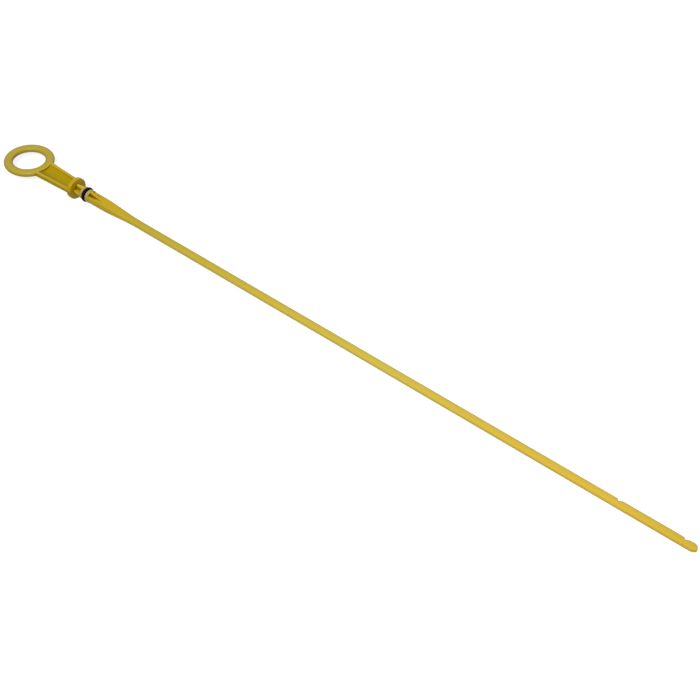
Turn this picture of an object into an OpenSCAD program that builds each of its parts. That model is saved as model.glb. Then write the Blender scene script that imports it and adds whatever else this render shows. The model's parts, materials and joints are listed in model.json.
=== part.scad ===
// Engine oil dipstick: a one-piece plastic moulding with a rubber seal ring.
// The seat face of the collar is at the origin, the tip lies towards +X, the
// finger ring lies flat across Y, and Z is up. The stick lies on the collar's
// rim and on its tip, so its axis dips slightly towards the tip.

/* [Finger ring] */
// Outside diameter of the finger ring
ring_d = 34; // [30:0.5:38]
// Diameter of the finger hole
ring_hole_d = 21.8; // [18:0.2:23]
// Distance from the ring's centre to the seat face of the collar
ring_reach = 47.5; // [42:0.5:60]
// Thickness of the ring
ring_t = 3.6; // [3.5:0.1:4.4]
// Edge radius of the ring
ring_edge_r = 1.7; // [0.8:0.1:1.7]

/* [Neck] */
// Width over the rails where they leave the ring
neck_ring_w = 16; // [14:0.2:17]
// Width over the rails where they meet the collar
neck_collar_w = 13; // [11:0.2:13.4]
// Width of each rail
rail_w = 3; // [2.9:0.1:3.6]
// Thickness of each rail
rail_t = 3.4; // [2.9:0.1:3.4]
// Edge radius of each rail
rail_edge_r = 1.4; // [0.7:0.1:1.4]
// Thickness of the dished web halfway between the rails
web_t = 0.9; // [0.8:0.1:1.6]
// Thickness of the web where it meets the rails
web_root_t = 2.2; // [2:0.1:2.8]

/* [Collar] */
// Diameter of the collar that stops on the mouth of the tube
collar_d = 14.6; // [13:0.2:18]
// Thickness of the collar
collar_t = 2.8; // [2:0.1:4]
// Edge radius of the collar
collar_edge_r = 0.5; // [0.2:0.1:0.8]

/* [Stem] */
// Length of the crossed ribs between the seat face and the plug
stem_len = 6; // [4:0.2:9]
// Diameter across the crossed ribs
stem_d = 7.8; // [6:0.2:8.2]
// Thickness of each crossed rib
rib_t = 1.9; // [1.4:0.1:2.6]

/* [Plug and seal] */
// Diameter of the plug's lands, just under the bore of the tube
plug_d = 8.8; // [8.6:0.1:9.4]
// Chamfer on the edges of the lands
plug_chamfer = 0.25; // [0.1:0.05:0.4]
// Width of the land on the handle side of the seal
back_land_w = 1.8; // [1.2:0.1:2.6]
// Width of the land on the tip side of the seal
front_land_w = 2.4; // [1.2:0.1:3]
// Thickness of the seal ring's cord
seal_cord_d = 2.9; // [2.5:0.1:3]
// Diameter of the groove floor, on which the seal ring sits
groove_floor_d = 4.6; // [4.2:0.1:5.2]
// Gap between the seal ring and each wall of the groove
groove_gap = 0.12; // [0.05:0.01:0.3]
// Depth to which the cord is pressed flat against the groove floor
seal_flat = 0.1; // [0.05:0.01:0.2]

/* [Shank and taper] */
// Diameter of the round shank that follows the plug
shank_d = 8.4; // [7.8:0.1:8.5]
// Thickness of the shank over its flats
shank_t = 4.2; // [3.6:0.1:5]
// Length of the shank
shank_len = 9.6; // [8:0.2:14]
// Length over which the upper and the lower fin slope down into the flats
fin_len = 11.6; // [9:0.2:12]
// Length of the flutes on both sides of each fin
flute_len = 6; // [4:0.2:8]
// Width of each flute
flute_w = 1.2; // [0.5:0.1:1.4]
// Length of the taper from the shank to the blade
taper_len = 34; // [24:1:60]

/* [Blade] */
// Distance from the seat face to the tip
reach = 471.4; // [300:0.2:600]
// Width of the blade
blade_w = 5.3; // [4.4:0.1:6]
// Thickness of the blade
blade_t = 2.2; // [1.6:0.1:3]
// Length of the rounded tip
tip_len = 5; // [2:0.2:6]

/* [Level marks] */
// Distance from the tip to the full mark
full_mark = 50; // [30:0.5:90]
// Distance from the tip to the low mark
low_mark = 8.3; // [7.8:0.1:16]
// Depth of each mark's notch
notch_depth = 1.4; // [0.6:0.1:1.8]
// Length of the notch's steep side, towards the handle
notch_steep = 1.5; // [0.5:0.1:3]
// Length of the notch's gentle side, towards the tip
notch_ramp = 3.3; // [1:0.1:4]

/* [Hidden] */
$fn = 96;

// Sinks one form into its neighbour, so that they join
sink = 0.4;
// Runs a cut past the surface that it opens
past = 1;
// Number of straight steps that draw the taper's curve
taper_steps = 12;

ring_r = ring_d / 2;
hole_r = ring_hole_d / 2;
collar_r = collar_d / 2;
plug_r = plug_d / 2;
groove_r = groove_floor_d / 2;

// Places along the axis, counted from the seat face
collar_back = -collar_t;
plug_x = stem_len;
groove_x = plug_x + back_land_w;
front_land_x = groove_x + seal_cord_d + 2 * groove_gap;
shank_x = front_land_x + front_land_w;
taper_x = shank_x + shank_len;
blade_x = taper_x + taper_len;
seal_x = (groove_x + front_land_x) / 2;

// Rails: they leave the ring inside its band and end inside the collar
rail_start = sqrt(pow(ring_r, 2) - pow(neck_ring_w / 2, 2)) - past - ring_reach;
rail_end = collar_back + sink;
rail_lean = atan((neck_ring_w - neck_collar_w) / 2 / (rail_end - rail_start));

// Round dish of the web, whose edges lie along the rails beside the ring
dish_depth = (web_root_t - web_t) / 2;
dish_r = (pow(neck_half(rail_start, rail_w), 2) + pow(dish_depth, 2)) / (2 * dish_depth);

// Foot of the fins, just inside the flats
fin_foot = shank_t / 2 - sink / 2;

// The stick rests on the rim of the collar and on the underside of its tip
lie_angle = asin((collar_r - blade_t / 2) / reach);

body_yellow = [0.86, 0.7, 0.16];
seal_black = [0.06, 0.06, 0.06];

// Half the neck's width at a place along the axis, less a margin
function neck_half(x, margin) = neck_ring_w / 2 - (x - rail_start) * tan(rail_lean) - margin;

// Share of the taper's swell that is left at a step, from 1 at the shank to 0 at the blade
function swell(step) = (1 + cos(180 * step / taper_steps)) / 2;

// Outline of half the stick past the plug, from a half size at the shank to one at the blade
function stick_curve(shank_half, blade_half) = concat(
    [[shank_x - sink, shank_half]],
    [for (step = [0:taper_steps])
        [taper_x + taper_len * step / taper_steps, blade_half + (shank_half - blade_half) * swell(step)]],
    [[reach, blade_half]]
);

// Turns the shapes so that the stick lies as it comes to rest
module lie() {
    rotate([0, lie_angle, 0]) children();
}

// Repeats a shape on the upper and the lower face
module both_faces() {
    for (flip = [0, 1]) mirror([0, 0, flip]) children();
}

// Repeats a shape on the near and the far side
module both_sides() {
    for (flip = [0, 1]) mirror([0, flip, 0]) children();
}

// Stands a shape that was turned about Z along the X axis
module along_axis() {
    rotate([0, 90, 0]) children();
}

// Section of a bar, w wide and t thick, with rounded corners
module bar_section(w, t, r) {
    square([w - 2 * r, t], center = true);
    square([w, t - 2 * r], center = true);
    for (side = [-1, 1], face = [-1, 1])
        translate([side * (w / 2 - r), face * (t / 2 - r)]) circle(r);
}

module finger_ring() {
    band_w = ring_r - hole_r;
    translate([-ring_reach, 0, 0]) rotate_extrude()
        translate([hole_r + band_w / 2, 0]) bar_section(band_w, ring_t, ring_edge_r);
}

module rail() {
    run = (rail_end - rail_start) / cos(rail_lean);
    translate([rail_start, neck_ring_w / 2 - rail_w / 2, 0]) rotate([0, 0, -rail_lean])
        rotate([90, 0, 90]) linear_extrude(run) bar_section(rail_w, rail_t, rail_edge_r);
}

// Web between the rails' middles, dished on both faces
module web() {
    inset = rail_w / 2;
    difference() {
        translate([0, 0, -web_root_t / 2]) linear_extrude(web_root_t) polygon([
            [rail_start, -neck_half(rail_start, inset)], [rail_end, -neck_half(rail_end, inset)],
            [rail_end, neck_half(rail_end, inset)], [rail_start, neck_half(rail_start, inset)]
        ]);
        both_faces() along_axis() translate([-web_t / 2 - dish_r, 0, rail_start - past])
            cylinder(h = rail_end - rail_start + 2 * past, r = dish_r);
    }
}

// Finger ring and the neck that joins it to the collar
module handle() {
    finger_ring();
    both_sides() rail();
    web();
}

module collar() {
    along_axis() translate([0, 0, collar_back]) rotate_extrude() {
        square([collar_r - collar_edge_r, collar_t]);
        translate([0, collar_edge_r]) square([collar_r, collar_t - 2 * collar_edge_r]);
        for (y = [collar_edge_r, collar_t - collar_edge_r])
            translate([collar_r - collar_edge_r, y]) circle(collar_edge_r);
    }
}

// Crossed ribs, rounded to a circle
module stem() {
    intersection() {
        along_axis() translate([0, 0, -sink]) cylinder(h = stem_len + 2 * sink, d = stem_d);
        union() {
            for (turn = [0, 90])
                rotate([turn, 0, 0]) translate([-past, -rib_t / 2, -stem_d])
                    cube([stem_len + 2 * past, rib_t, 2 * stem_d]);
        }
    }
}

// One land of the plug, from its place along the axis, with chamfered edges
module land(x, w) {
    c = plug_chamfer;
    along_axis() translate([0, 0, x]) rotate_extrude()
        polygon([[0, 0], [plug_r - c, 0], [plug_r, c], [plug_r, w - c], [plug_r - c, w], [0, w]]);
}

// Two lands with the groove of the seal ring between them
module plug() {
    land(plug_x, back_land_w);
    along_axis() translate([0, 0, groove_x - sink])
        cylinder(h = front_land_x - groove_x + 2 * sink, r = groove_r);
    land(front_land_x, front_land_w);
}

// Round stick that thins to the blade, as seen without its flats
module round_stick() {
    curve = stick_curve(shank_d / 2, blade_w / 2);
    along_axis() rotate_extrude() polygon(concat(
        [[0, curve[0].x]], [for (p = curve) [p.y, p.x]], [[0, reach]]
    ));
}

// Side view of the stick, which gives the shank, the taper and the blade their flats
module side_profile() {
    curve = stick_curve(shank_t / 2, blade_t / 2);
    lower = [for (i = [len(curve) - 1:-1:0]) [curve[i].x, -curve[i].y]];
    translate([0, shank_d, 0]) rotate([90, 0, 0]) linear_extrude(2 * shank_d)
        polygon(concat(curve, lower));
}

// Upper fin, rounded like the shank at the plug and sloping down into the flat
module fin() {
    top = shank_d / 2;
    run = fin_len + sink;
    intersection() {
        translate([shank_x - sink, -rib_t / 2, 0]) cube([run, rib_t, top]);
        along_axis() translate([0, 0, shank_x - sink]) cylinder(h = run, r = top);
        translate([0, shank_d, 0]) rotate([90, 0, 0]) linear_extrude(2 * shank_d) polygon([
            [shank_x - sink, 0], [shank_x - sink, top], [shank_x, top],
            [shank_x + fin_len, fin_foot], [shank_x + fin_len, 0]
        ]);
    }
}

// Flute beside the upper fin: as deep as the crossed ribs at the plug, running out into the flat
module flute() {
    translate([0, rib_t / 2 + flute_w, 0]) rotate([90, 0, 0]) linear_extrude(flute_w + sink) polygon([
        [shank_x, rib_t / 2], [shank_x + flute_len, shank_t / 2],
        [shank_x + flute_len, shank_d], [shank_x, shank_d]
    ]);
}

// What lies outside the tip's rounded outline, seen from above
module tip_trim() {
    half = blade_w / 2;
    curve = [for (a = [-90:7.5:90]) [reach - tip_len + tip_len * cos(a), half * sin(a)]];
    translate([0, 0, -blade_t]) linear_extrude(2 * blade_t) polygon(concat(
        [[reach - tip_len, -half - past], [reach - tip_len, -half]],
        curve,
        [[reach - tip_len, half], [reach - tip_len, half + past], [reach + past, half + past],
         [reach + past, -half - past]]
    ));
}

// Notch in the far edge, with its deepest point at the given distance from the tip
module notch(mark) {
    x = reach - mark;
    edge = blade_w / 2;
    slope_out = past / notch_depth;
    translate([0, 0, -blade_t]) linear_extrude(2 * blade_t) polygon([
        [x, edge - notch_depth],
        [x + notch_ramp * (1 + slope_out), edge + past],
        [x - notch_steep * (1 + slope_out), edge + past]
    ]);
}

// Shank, taper and blade: a round stick pressed flat, with fins between flutes behind the plug,
// notched and rounded at its tip
module stick() {
    difference() {
        intersection() {
            round_stick();
            side_profile();
        }
        both_sides() both_faces() flute();
        notch(full_mark);
        notch(low_mark);
        tip_trim();
    }
    both_faces() fin();
}

// The one-piece moulding, from the finger ring to the tip
module dipstick_body() {
    color(body_yellow) lie() {
        handle();
        collar();
        stem();
        plug();
        stick();
    }
}

// Rubber ring, pressed slightly flat on the groove floor
module seal_ring() {
    cord_r = seal_cord_d / 2;
    color(seal_black) lie() along_axis() translate([0, 0, seal_x]) rotate_extrude()
        intersection() {
            translate([groove_r + cord_r - seal_flat, 0]) circle(cord_r);
            translate([groove_r, -seal_cord_d]) square(2 * seal_cord_d);
        }
}

dipstick_body();
seal_ring();
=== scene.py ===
"""Oil dipstick: finishes for the moulded plastic stick and its seal ring, and a pale studio round them.

Lengths are in metres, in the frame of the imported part: its origin is the collar's seat face, +X runs
towards the tip and +Z is up. Patterns are laid out along the stick's own axis, which dips slightly
below +X because the stick lies on its collar and on its tip.
"""

import json
import logging
import math
from dataclasses import dataclass
from enum import Enum
from typing import Any, Mapping, Optional, Sequence, Union

import bmesh
import bpy
from mathutils import Euler, Matrix, Vector


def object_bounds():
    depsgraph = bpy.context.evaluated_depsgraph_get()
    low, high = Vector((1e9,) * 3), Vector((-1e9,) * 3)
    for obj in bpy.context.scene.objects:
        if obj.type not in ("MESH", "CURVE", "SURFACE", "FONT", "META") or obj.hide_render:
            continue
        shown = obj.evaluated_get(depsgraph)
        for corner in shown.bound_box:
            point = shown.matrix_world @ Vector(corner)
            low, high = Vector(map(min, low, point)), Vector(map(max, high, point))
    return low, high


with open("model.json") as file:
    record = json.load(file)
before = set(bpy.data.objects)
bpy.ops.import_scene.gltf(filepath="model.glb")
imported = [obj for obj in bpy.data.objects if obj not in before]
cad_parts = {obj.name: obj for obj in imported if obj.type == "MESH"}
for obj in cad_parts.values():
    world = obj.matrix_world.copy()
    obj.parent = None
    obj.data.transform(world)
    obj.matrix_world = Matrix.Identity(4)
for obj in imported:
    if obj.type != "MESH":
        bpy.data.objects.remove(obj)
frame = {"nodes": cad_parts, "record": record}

CAD_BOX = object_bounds()
MM = 0.001
NOISE_MEAN = 0.5
LOG = logging.getLogger("dipstick")

Triple = tuple[float, float, float]
Colour = Triple
SocketKey = Union[str, int]


class Wire:
    """An output socket of a shader tree that takes part in Python expressions."""

    def __init__(self, graph: "Graph", socket: bpy.types.NodeSocket) -> None:
        """Keep the socket and the graph that it belongs to.

        Args:
            graph: The graph that new nodes are added to.
            socket: The output socket.
        """
        self.graph = graph
        self.socket = socket

    def output(self, name: SocketKey) -> "Wire":
        """Return another output of the same node."""
        return Wire(self.graph, self.socket.node.outputs[name])

    def maths(self, operation: str, *operands: "Operand") -> "Wire":
        """Add a Math node.

        Args:
            operation: The Math node's operation.
            *operands: Its inputs, in order.

        Returns:
            The node's result.
        """
        return self.graph.add("ShaderNodeMath", {"operation": operation}, dict(enumerate(operands)))

    def __add__(self, other: "Operand") -> "Wire":
        """Return self + other."""
        return self.maths("ADD", self, other)

    def __radd__(self, other: "Operand") -> "Wire":
        """Return other + self."""
        return self.maths("ADD", other, self)

    def __sub__(self, other: "Operand") -> "Wire":
        """Return self - other."""
        return self.maths("SUBTRACT", self, other)

    def __rsub__(self, other: "Operand") -> "Wire":
        """Return other - self."""
        return self.maths("SUBTRACT", other, self)

    def __mul__(self, other: "Operand") -> "Wire":
        """Return self * other."""
        return self.maths("MULTIPLY", self, other)

    def __rmul__(self, other: "Operand") -> "Wire":
        """Return other * self."""
        return self.maths("MULTIPLY", other, self)

    def __truediv__(self, other: "Operand") -> "Wire":
        """Return self / other."""
        return self.maths("DIVIDE", self, other)

    def __rtruediv__(self, other: "Operand") -> "Wire":
        """Return other / self."""
        return self.maths("DIVIDE", other, self)

    def __pow__(self, other: "Operand") -> "Wire":
        """Return self to the power of other."""
        return self.maths("POWER", self, other)

    def __rpow__(self, other: "Operand") -> "Wire":
        """Return other to the power of self."""
        return self.maths("POWER", other, self)

    def __abs__(self) -> "Wire":
        """Return the size of self without its sign."""
        return self.maths("ABSOLUTE", self)

    def larger(self, other: "Operand") -> "Wire":
        """Return the larger of self and other."""
        return self.maths("MAXIMUM", self, other)

    def fade(self, start: float, end: float) -> "Wire":
        """Turn a range of the value into a smooth step.

        Args:
            start: The value where the result is 0.
            end: The value where the result is 1; it may lie below start.

        Returns:
            The smooth step from 0 to 1.
        """
        limits = {"Value": self, "From Min": start, "From Max": end}
        if start <= end:
            return self.graph.add("ShaderNodeMapRange", {"interpolation_type": "SMOOTHSTEP"}, limits)
        limits.update({"From Min": end, "From Max": start, "To Min": 1.0, "To Max": 0.0})
        return self.graph.add("ShaderNodeMapRange", {"interpolation_type": "SMOOTHSTEP"}, limits)


Operand = Union[float, int, Wire]
SocketValue = Union[float, int, Sequence[float], Wire]


class Graph:
    """A material's or the world's shader tree, emptied and ready to be filled."""

    def __init__(self, owner: Union[bpy.types.Material, bpy.types.World]) -> None:
        """Switch the owner to nodes and clear them.

        Args:
            owner: The material or the world.
        """
        owner.use_nodes = True
        self.tree = owner.node_tree
        self.tree.nodes.clear()
        is_world = isinstance(owner, bpy.types.World)
        self.end = "ShaderNodeOutputWorld" if is_world else "ShaderNodeOutputMaterial"

    def add(
        self,
        kind: str,
        settings: Optional[Mapping[str, Any]] = None,
        sockets: Optional[Mapping[SocketKey, SocketValue]] = None,
    ) -> Wire:
        """Add a node of any type.

        Args:
            kind: The node's type, such as ShaderNodeMath.
            settings: Its settings; stops holds a ramp's places and colours.
            sockets: The value or the wire of each input, by name or place.

        Returns:
            The node's first output.
        """
        node = self.tree.nodes.new(kind)
        for name, value in (settings or {}).items():
            if name == "stops":
                self.set_stops(node.color_ramp, value)
            else:
                setattr(node, name, value)
        for key, value in (sockets or {}).items():
            if isinstance(value, Wire):
                self.tree.links.new(value.socket, node.inputs[key])
            else:
                node.inputs[key].default_value = value
        return Wire(self, node.outputs[0])

    @staticmethod
    def set_stops(ramp: bpy.types.ColorRamp, stops: Sequence[tuple[float, Colour]]) -> None:
        """Give a ramp its stops.

        Args:
            ramp: The ramp, with its two first elements.
            stops: Two or more places with their colours.
        """
        while len(ramp.elements) < len(stops):
            ramp.elements.new(1.0)
        for element, (place, colour) in zip(ramp.elements, stops):
            element.position = place
            element.color = (*colour, 1.0)

    def blend(self, share: Operand, low: SocketValue, high: SocketValue, mode: str = "MIX") -> Wire:
        """Mix two colours.

        Args:
            share: How much of the second colour.
            low: The first colour, as numbers or a wire.
            high: The second colour, as numbers or a wire.
            mode: The blend type.

        Returns:
            The mixed colour.
        """
        settings = {"data_type": "RGBA", "blend_type": mode, "clamp_factor": True}
        sockets = {
            0: share,
            6: low if isinstance(low, Wire) else (*low, 1.0),
            7: high if isinstance(high, Wire) else (*high, 1.0),
        }
        return self.add("ShaderNodeMix", settings, sockets).output(2)

    def noise(self, place: Wire, scale: float, detail: float) -> Wire:
        """Add a noise texture.

        Args:
            place: The place on the surface.
            scale: Its scale.
            detail: Its number of octaves.

        Returns:
            The noise's value.
        """
        return self.add("ShaderNodeTexNoise", None, {"Vector": place, "Scale": scale, "Detail": detail})

    def surface(self, shader: Wire) -> None:
        """Join a shader to the tree's output."""
        self.tree.links.new(shader.socket, self.tree.nodes.new(self.end).inputs["Surface"])


@dataclass(frozen=True)
class StickAxis:
    """The stick's own axis, which patterns run along."""

    dip: float

    @classmethod
    def of_mount(cls, record: Mapping[str, Any], name: str) -> "StickAxis":
        """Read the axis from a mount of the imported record.

        Args:
            record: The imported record.
            name: The mount's name.

        Returns:
            The axis.
        """
        along = next(m["axis"] for m in record["mounts"] if m["name"] == name)
        return cls(dip=math.atan2(-along[2], along[0]))

    def matrix(self) -> Matrix:
        """Return the turn from the stick's own frame to the part's frame."""
        return Euler((0.0, self.dip, 0.0)).to_matrix().to_4x4()

    def place(self, graph: Graph) -> Wire:
        """Add the place on the surface, along and across the stick.

        Args:
            graph: The material's graph.

        Returns:
            A vector: x from the seat face to the tip, y to the notched edge, z off the flat.
        """
        here = graph.add("ShaderNodeTexCoord").output("Object")
        return graph.add("ShaderNodeMapping", None, {"Vector": here, "Rotation": (0.0, -self.dip, 0.0)})


@dataclass(frozen=True)
class MouldedPlastic:
    """Semi-gloss yellow plastic with a moulder's traces: flow, mottling and a fine parting line."""

    axis: StickAxis
    handle_end: float = -64.5 * MM
    tip_end: float = 471.4 * MM
    tones: tuple[tuple[float, Colour], ...] = (
        (-36 * MM, (0.445, 0.338, 0.032)),
        (-28 * MM, (0.500, 0.355, 0.014)),
        (0 * MM, (0.480, 0.325, 0.002)),
        (10 * MM, (0.520, 0.350, 0.010)),
        (30 * MM, (0.535, 0.360, 0.008)),
        (60 * MM, (0.500, 0.380, 0.026)),
        (150 * MM, (0.560, 0.425, 0.038)),
        (260 * MM, (0.615, 0.470, 0.055)),
        (350 * MM, (0.640, 0.450, 0.044)),
        (420 * MM, (0.650, 0.440, 0.040)),
        (465 * MM, (0.595, 0.405, 0.030)),
    )
    # Painted shade: the thin web between the rails gets a deeper, darker yellow in place of its shading.
    web_shade_colour: Colour = (0.40, 0.275, 0.001)
    # Painted shade: corners and pockets get a dark brown where light is lost between walls.
    recess_shade_colour: Colour = (0.23, 0.130, 0.001)
    # Painted highlights: the plug's lands and the stem ribs' round outer faces get paler colours where light
    # catches them.
    land_highlight_colour: Colour = (0.445, 0.335, 0.098)
    rib_highlight_colour: Colour = (0.60, 0.425, 0.060)
    # Painted shade: the head's steep walls are multiplied darker than its tops.
    wall_shade_tint: Colour = (0.86, 0.86, 0.74)
    cloud_tint: Colour = (0.80, 0.80, 0.80)
    parting_colour: Colour = (0.42, 0.28, 0.02)
    roughness: float = 0.40
    gloss: float = 0.25
    flow_scale: Triple = (60.0, 700.0, 700.0)
    flow_shade: float = 0.06
    flow_roughness: float = 0.10
    flow_height: float = 0.012 * MM
    mottle_scale: float = 260.0
    mottle_shade: float = 0.10
    mottle_roughness: float = 0.08
    grain_scale: float = 2600.0
    grain_height: float = 0.004 * MM
    parting_half: float = 0.07 * MM
    parting_height: float = 0.05 * MM
    parting_share: float = 0.25
    edge_radius: float = 0.3 * MM
    blade_edge_radius: float = 0.9 * MM
    recess_reach: float = 2.2 * MM
    recess_start: float = 0.88
    recess_full: float = 0.42
    wall_start: float = 0.9
    wall_full: float = 0.3
    rib_start: float = 0.5 * MM
    rib_end: float = 5.7 * MM
    rib_low: float = 3.4 * MM
    plug_start: float = 6 * MM
    plug_end: float = 13.3 * MM
    land_low: float = 3.95 * MM
    highlight_lead: float = 0.3 * MM
    highlight_fade: float = 0.2 * MM
    web_start: float = -32 * MM
    web_half: float = 1.35 * MM
    web_lead: float = 1 * MM
    web_fade: float = 0.3 * MM
    crown_start: float = 20 * MM
    crown_end: float = 55 * MM
    crown_bend: float = 60.0
    dish_half: float = 5.7 * MM
    dish_bend: float = 44.0
    ring_centre: float = -47.5 * MM
    band_middle: float = 13.95 * MM
    band_half: float = 3.05 * MM
    band_limit: float = 17.305 * MM
    band_bend: float = 78.0

    def build(self) -> bpy.types.Material:
        """Build the material.

        Returns:
            The material.
        """
        material = bpy.data.materials.new("moulded_plastic")
        graph = Graph(material)
        place = self.axis.place(graph)
        parts = graph.add("ShaderNodeSeparateXYZ", None, {"Vector": place})
        flow = self.flow(graph, place)
        mottle = self.mottle(graph, place)
        web = self.web(parts)
        recess_shade = self.recess_shade(graph)
        parting = abs(parts.output("Z")).fade(self.parting_half, 0.0)
        cloud = self.mottle_shade * mottle + self.flow_shade * flow
        streaky = self.flow_roughness * (flow - NOISE_MEAN)
        cloudy = self.mottle_roughness * (mottle - NOISE_MEAN)
        sockets = {
            "Base Color": self.colour(graph, parts, web, recess_shade, cloud, parting),
            "Roughness": self.roughness + streaky + cloudy,
            "IOR": 1.5,
            "Specular IOR Level": 0.05,
            "Coat Weight": self.gloss * (1.0 - web) * (1.0 - recess_shade),
            "Coat Roughness": 0.35,
            "Normal": self.relief(graph, place, parts, web, flow, parting),
        }
        graph.surface(graph.add("ShaderNodeBsdfPrincipled", None, sockets))
        return material

    def flow(self, graph: Graph, place: Wire) -> Wire:
        """Add the streaks that the melt leaves along the stick."""
        stretched = graph.add("ShaderNodeMapping", None, {"Vector": place, "Scale": self.flow_scale})
        return graph.noise(stretched, 1.0, 3.0)

    def mottle(self, graph: Graph, place: Wire) -> Wire:
        """Add the soft cloudiness of the pigment."""
        return graph.noise(place, self.mottle_scale, 4.0)

    def web(self, parts: Wire) -> Wire:
        """Add the mask of the neck's thin web, which lies lower than the rails."""
        along = parts.output("X")
        neck = along.fade(self.web_start - self.web_lead, self.web_start) * along.fade(0.0, -self.web_lead)
        return neck * abs(parts.output("Z")).fade(self.web_half, self.web_half - self.web_fade)

    def pale_highlight(self, parts: Wire, start: float, end: float, low: float) -> Wire:
        """Add the mask of round outer faces that get a painted pale highlight.

        Args:
            parts: The place on the surface, by axis.
            start: Where they begin along the stick.
            end: Where they end along the stick.
            low: The radius that they lie outside of.

        Returns:
            1 on the highlit faces.
        """
        along = parts.output("X")
        reach = (parts.output("Y") ** 2.0 + parts.output("Z") ** 2.0) ** 0.5
        span = along.fade(start - self.highlight_lead, start) * along.fade(end + self.highlight_fade, end)
        return span * reach.fade(low, low + self.highlight_fade)

    def wall_shade(self, graph: Graph, parts: Wire) -> Wire:
        """Add the mask of the head's steep walls, where painted shade makes them darker than its tops."""
        normal = graph.add("ShaderNodeTexCoord").output("Normal")
        facing = graph.add("ShaderNodeSeparateXYZ", None, {"Vector": normal})
        head = parts.output("X").fade(self.crown_end, self.crown_start)
        return abs(facing.output("Z")).fade(self.wall_start, self.wall_full) * head

    def recess_shade(self, graph: Graph) -> Wire:
        """Add the mask of the corners and pockets, where light is lost between walls and shade is painted into
        the colour.
        """
        settings = {"samples": 8, "only_local": True}
        open_sky = graph.add("ShaderNodeAmbientOcclusion", settings, {"Distance": self.recess_reach})
        return open_sky.output("AO").fade(self.recess_start, self.recess_full)

    def colour(self, graph: Graph, parts: Wire, web: Wire, recess_shade: Wire, cloud: Wire, parting: Wire) -> Wire:
        """Add the plastic's colour.

        Args:
            graph: The material's graph.
            parts: The place on the surface, by axis.
            web: The mask of the thin web.
            recess_shade: The mask of the corners and pockets.
            cloud: How far the pigment's cloudiness darkens the surface.
            parting: The mask of the parting line.

        Returns:
            The colour, paler along the blade, with painted highlights on the round outer faces of ribs and
            lands, and painted shade in the web, in every recess and on the head's steep walls.
        """
        run = self.tip_end - self.handle_end
        stops = [((x - self.handle_end) / run, tone) for x, tone in self.tones]
        share = (parts.output("X") - self.handle_end) / run
        # Masks of the painted highlights on the round outer faces of the stem ribs and the plug's lands.
        rib_highlight = self.pale_highlight(parts, self.rib_start, self.rib_end, self.rib_low)
        land_highlight = self.pale_highlight(parts, self.plug_start, self.plug_end, self.land_low)
        layer = graph.add("ShaderNodeValToRGB", {"stops": stops}, {"Fac": share})
        layer = graph.blend(rib_highlight, layer, self.rib_highlight_colour)
        layer = graph.blend(land_highlight, layer, self.land_highlight_colour)
        # Painted shade in the web and in the recesses.
        layer = graph.blend(web, layer, self.web_shade_colour)
        layer = graph.blend(recess_shade, layer, self.recess_shade_colour)
        # Painted shade on the head's steep walls.
        layer = graph.blend(self.wall_shade(graph, parts), layer, self.wall_shade_tint, "MULTIPLY")
        layer = graph.blend(cloud, layer, self.cloud_tint, "MULTIPLY")
        return graph.blend(self.parting_share * parting, layer, self.parting_colour)

    def relief(self, graph: Graph, place: Wire, parts: Wire, web: Wire, flow: Wire, parting: Wire) -> Wire:
        """Add the surface's relief.

        Args:
            graph: The material's graph.
            place: The place on the surface.
            parts: The place on the surface, by axis.
            web: The mask of the thin web.
            flow: The melt's streaks.
            parting: The mask of the parting line.

        Returns:
            The normal, with softened edges, the light crowns of blade and ring, the web's dish, moulded
            grain, streaks and parting line.
        """
        grain = graph.noise(place, self.grain_scale, 2.0)
        blade = parts.output("X").fade(self.crown_start, self.crown_end)
        squared = parts.output("Y") ** 2.0
        crown = blade * -self.crown_bend * squared
        dish = web * self.dish_bend * (squared - self.dish_half**2)
        forms = crown + dish + self.band(parts)
        height = forms + self.grain_height * grain + self.flow_height * flow + self.parting_height * parting
        sockets = {"Height": height, "Distance": 1.0, "Normal": self.edges(graph, blade)}
        return graph.add("ShaderNodeBump", None, sockets)

    def band(self, parts: Wire) -> Wire:
        """Add the height of the light crown on the ring's band."""
        radius = ((parts.output("X") - self.ring_centre) ** 2.0 + parts.output("Y") ** 2.0) ** 0.5
        crown = self.band_bend * (self.band_half**2 - (radius - self.band_middle) ** 2.0)
        return radius.fade(self.band_limit, self.band_middle + self.band_half) * crown

    def edges(self, graph: Graph, blade: Wire) -> Wire:
        """Add the normal of softened edges.

        Args:
            graph: The material's graph.
            blade: The mask of the blade, whose edges are rounder than the head's.

        Returns:
            The normal.
        """
        sharp = graph.add("ShaderNodeBevel", {"samples": 6}, {"Radius": self.edge_radius})
        blunt = graph.add("ShaderNodeBevel", {"samples": 8}, {"Radius": self.blade_edge_radius})
        mixed = graph.add("ShaderNodeMix", {"data_type": "VECTOR"}, {0: blade, 4: sharp, 5: blunt})
        return mixed.output(1)


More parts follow.
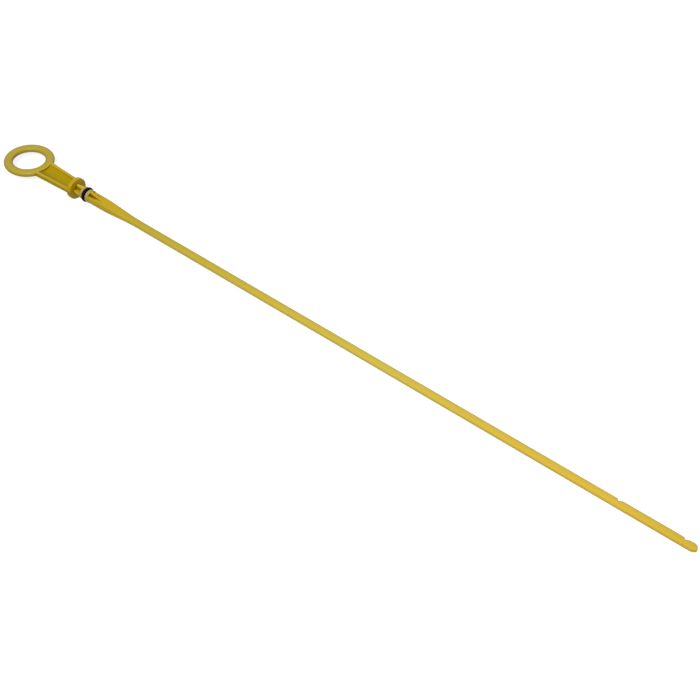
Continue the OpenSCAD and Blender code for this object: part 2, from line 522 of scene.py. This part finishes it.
@dataclass(frozen=True)
class SealRubber:
    """Black rubber with a dull bloom and a fine grain."""

    axis: StickAxis
    colour: Colour = (0.004, 0.0015, 0.001)
    bloom_colour: Colour = (0.012, 0.008, 0.006)
    bloom_scale: float = 500.0
    bloom_start: float = 0.45
    bloom_full: float = 0.75
    bloom_roughness: float = 0.2
    grain_scale: float = 4000.0
    grain_height: float = 0.006 * MM
    roughness: float = 0.5

    def build(self) -> bpy.types.Material:
        """Build the material.

        Returns:
            The material.
        """
        material = bpy.data.materials.new("seal_rubber")
        graph = Graph(material)
        place = self.axis.place(graph)
        bloom = graph.noise(place, self.bloom_scale, 5.0)
        grain = graph.noise(place, self.grain_scale, 2.0)
        dusted = bloom.fade(self.bloom_start, self.bloom_full)
        sockets = {
            "Base Color": graph.blend(dusted, self.colour, self.bloom_colour),
            "Roughness": self.roughness + self.bloom_roughness * (bloom - NOISE_MEAN),
            "IOR": 1.5,
            "Specular IOR Level": 0.04,
            "Normal": graph.add("ShaderNodeBump", None, {"Height": self.grain_height * grain, "Distance": 1.0}),
        }
        graph.surface(graph.add("ShaderNodeBsdfPrincipled", None, sockets))
        return material


class Piece(Enum):
    """The part's pieces, by node, with the material slot of each."""

    BODY = ("dipstick_body", "moulded_plastic")
    SEAL = ("seal_ring", "seal_rubber")

    @property
    def node(self) -> str:
        """Return the piece's node."""
        return self.value[0]

    @property
    def slot(self) -> str:
        """Return the piece's material slot in the record."""
        return self.value[1]


@dataclass
class Dipstick:
    """The moulded stick and its seal ring, as packed."""

    axis: StickAxis
    nodes: Mapping[str, bpy.types.Object]

    def dress(self) -> None:
        """Give each piece its finish."""
        finishes = {Piece.BODY: MouldedPlastic(self.axis), Piece.SEAL: SealRubber(self.axis)}
        for piece, finish in finishes.items():
            self.coat(self.nodes[piece.node], finish.build())
            LOG.info("dressed %s", piece.node)

    @staticmethod
    def coat(node: bpy.types.Object, material: bpy.types.Material) -> None:
        """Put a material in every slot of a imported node.

        Args:
            node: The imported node.
            material: Its finish.
        """
        if not node.material_slots:
            node.data.materials.append(material)
        for slot in node.material_slots:
            slot.material = material


@dataclass(frozen=True)
class StudioFloor:
    """Pale matt floor that camera rays see as white, less the object's shadow."""

    colour: Colour = (0.30, 0.30, 0.30)
    lift: float = 0.82
    outskirts_start: float = 0.7
    outskirts_end: float = 1.4

    def build(self) -> bpy.types.Material:
        """Build the material.

        Returns:
            The material.
        """
        material = bpy.data.materials.new("studio_floor")
        graph = Graph(material)
        matt = graph.add("ShaderNodeBsdfDiffuse", None, {"Color": (*self.colour, 1.0)})
        glow = graph.add("ShaderNodeEmission", None, {"Strength": self.lift})
        lifted = graph.add("ShaderNodeAddShader", None, {0: matt, 1: glow})
        white = graph.add("ShaderNodeEmission", None, {"Strength": 1.0})
        here = graph.add("ShaderNodeTexCoord").output("Object")
        away = graph.add("ShaderNodeVectorMath", {"operation": "LENGTH"}, {0: here}).output("Value")
        outskirts = away.fade(self.outskirts_start, self.outskirts_end)
        shown = graph.add("ShaderNodeMixShader", None, {0: outskirts, 1: lifted, 2: white})
        graph.surface(graph.add("ShaderNodeMixShader", None, {0: seen_rays(graph), 1: matt, 2: shown}))
        return material


def seen_rays(graph: Graph) -> Wire:
    """Add the mask of the rays that see the background directly or in a gloss.

    Args:
        graph: The floor's or the world's graph.

    Returns:
        1 for camera, glossy and transmission rays, and 0 for the rest.
    """
    rays = graph.add("ShaderNodeLightPath")
    seen = rays.output("Is Camera Ray").larger(rays.output("Is Glossy Ray"))
    return seen.larger(rays.output("Is Transmission Ray"))


@dataclass(frozen=True)
class Lamp:
    """A soft rectangular lamp that faces the object."""

    name: str
    place: Triple
    size: tuple[float, float]
    watts: float
    colour: Colour = (1.0, 1.0, 1.0)

    def hang(self, target: Vector) -> None:
        """Make the lamp.

        Args:
            target: The point that it faces.
        """
        light = bpy.data.lights.new(self.name, "AREA")
        light.shape = "RECTANGLE"
        light.size, light.size_y = self.size
        light.energy = self.watts
        light.color = self.colour
        lamp = bpy.data.objects.new(self.name, light)
        lamp.location = target + Vector(self.place)
        lamp.rotation_euler = (-Vector(self.place)).to_track_quat("-Z", "Y").to_euler()
        bpy.context.scene.collection.objects.link(lamp)


@dataclass(frozen=True)
class CameraPose:
    """Where the camera stands, given by what it sees of the finger ring's centre."""

    azimuth: float = math.radians(-39.29)
    elevation: float = math.radians(43.12)
    roll: float = math.radians(1.07)
    ring_right: float = -215.77 * MM
    ring_down: float = -127.43 * MM
    ring_ahead: float = 1076.33 * MM
    focal_px: float = 1600.0
    frame_px: float = 700.0

    def matrix(self, ring: Vector) -> Matrix:
        """Work out the camera's matrix in the stick's own frame.

        Args:
            ring: The ring's centre in that frame.

        Returns:
            The matrix of a camera that looks along its own -Z.
        """
        turn, tilt = self.azimuth, self.elevation
        level = Vector((math.cos(turn), -math.sin(turn), 0.0))
        ahead = Vector((math.sin(turn) * math.cos(tilt), math.cos(turn) * math.cos(tilt), -math.sin(tilt)))
        sunk = ahead.cross(level)
        right = level * math.cos(self.roll) - sunk * math.sin(self.roll)
        down = level * math.sin(self.roll) + sunk * math.cos(self.roll)
        eye = ring - right * self.ring_right - down * self.ring_down - ahead * self.ring_ahead
        turned = Matrix((right, -down, -ahead)).transposed().to_4x4()
        return Matrix.Translation(eye) @ turned

    def lens(self, sensor: float) -> float:
        """Return the focal length in the sensor's units."""
        return sensor * self.focal_px / self.frame_px


@dataclass
class Studio:
    """The floor, the lamps, the surroundings and the camera."""

    axis: StickAxis
    low: Vector
    high: Vector
    ring_reach: float = 47.5 * MM
    floor_half: float = 4.0
    floor_middle: float = 0.2
    ambient: float = 0.20
    lamps: tuple[Lamp, ...] = (
        Lamp("key_lamp", (0.95, -1.75, 2.40), (0.8, 0.8), 99.0),
        Lamp("fill_lamp", (0.1, 2.1, 1.2), (1.6, 1.2), 15.0),
    )

    def build(self) -> None:
        """Make the whole studio."""
        self.lay_floor()
        self.light()
        self.surround()
        self.aim()
        bpy.context.scene.view_settings.view_transform = "Standard"

    def lay_floor(self) -> None:
        """Lay the floor under the object's lowest point."""
        shape = bmesh.new()
        bmesh.ops.create_grid(shape, x_segments=4, y_segments=4, size=self.floor_half)
        bmesh.ops.translate(shape, verts=shape.verts, vec=(self.floor_middle, 0.0, self.low.z))
        mesh = bpy.data.meshes.new("studio_floor")
        shape.to_mesh(mesh)
        shape.free()
        mesh.materials.append(StudioFloor().build())
        floor = bpy.data.objects.new("studio_floor", mesh)
        bpy.context.scene.collection.objects.link(floor)

    def light(self) -> None:
        """Hang the lamps round the middle of the object."""
        middle = (self.low + self.high) / 2
        for lamp in self.lamps:
            lamp.hang(middle)

    def surround(self) -> None:
        """Fill the surroundings with soft light that the camera sees as white."""
        world = bpy.data.worlds.new("studio_world")
        bpy.context.scene.world = world
        graph = Graph(world)
        soft = graph.add("ShaderNodeBackground", None, {"Strength": self.ambient})
        white = graph.add("ShaderNodeBackground", None, {"Color": (1.0, 1.0, 1.0, 1.0), "Strength": 1.0})
        graph.surface(graph.add("ShaderNodeMixShader", None, {0: seen_rays(graph), 1: soft, 2: white}))

    def aim(self) -> None:
        """Place the camera."""
        pose = CameraPose()
        data = bpy.data.cameras.new("camera")
        data.sensor_width = 36.0
        data.lens = pose.lens(data.sensor_width)
        camera = bpy.data.objects.new("camera", data)
        camera.matrix_world = self.axis.matrix() @ pose.matrix(Vector((-self.ring_reach, 0.0, 0.0)))
        bpy.context.scene.collection.objects.link(camera)
        bpy.context.scene.camera = camera


def main() -> None:
    """Dress the dipstick and set up its studio."""
    logging.basicConfig(level=logging.INFO, format="%(name)s: %(message)s")
    axis = StickAxis.of_mount(frame["record"], "tube_seat")
    Dipstick(axis, frame["nodes"]).dress()
    Studio(axis, *CAD_BOX).build()


if __name__ == "__main__":
    main()
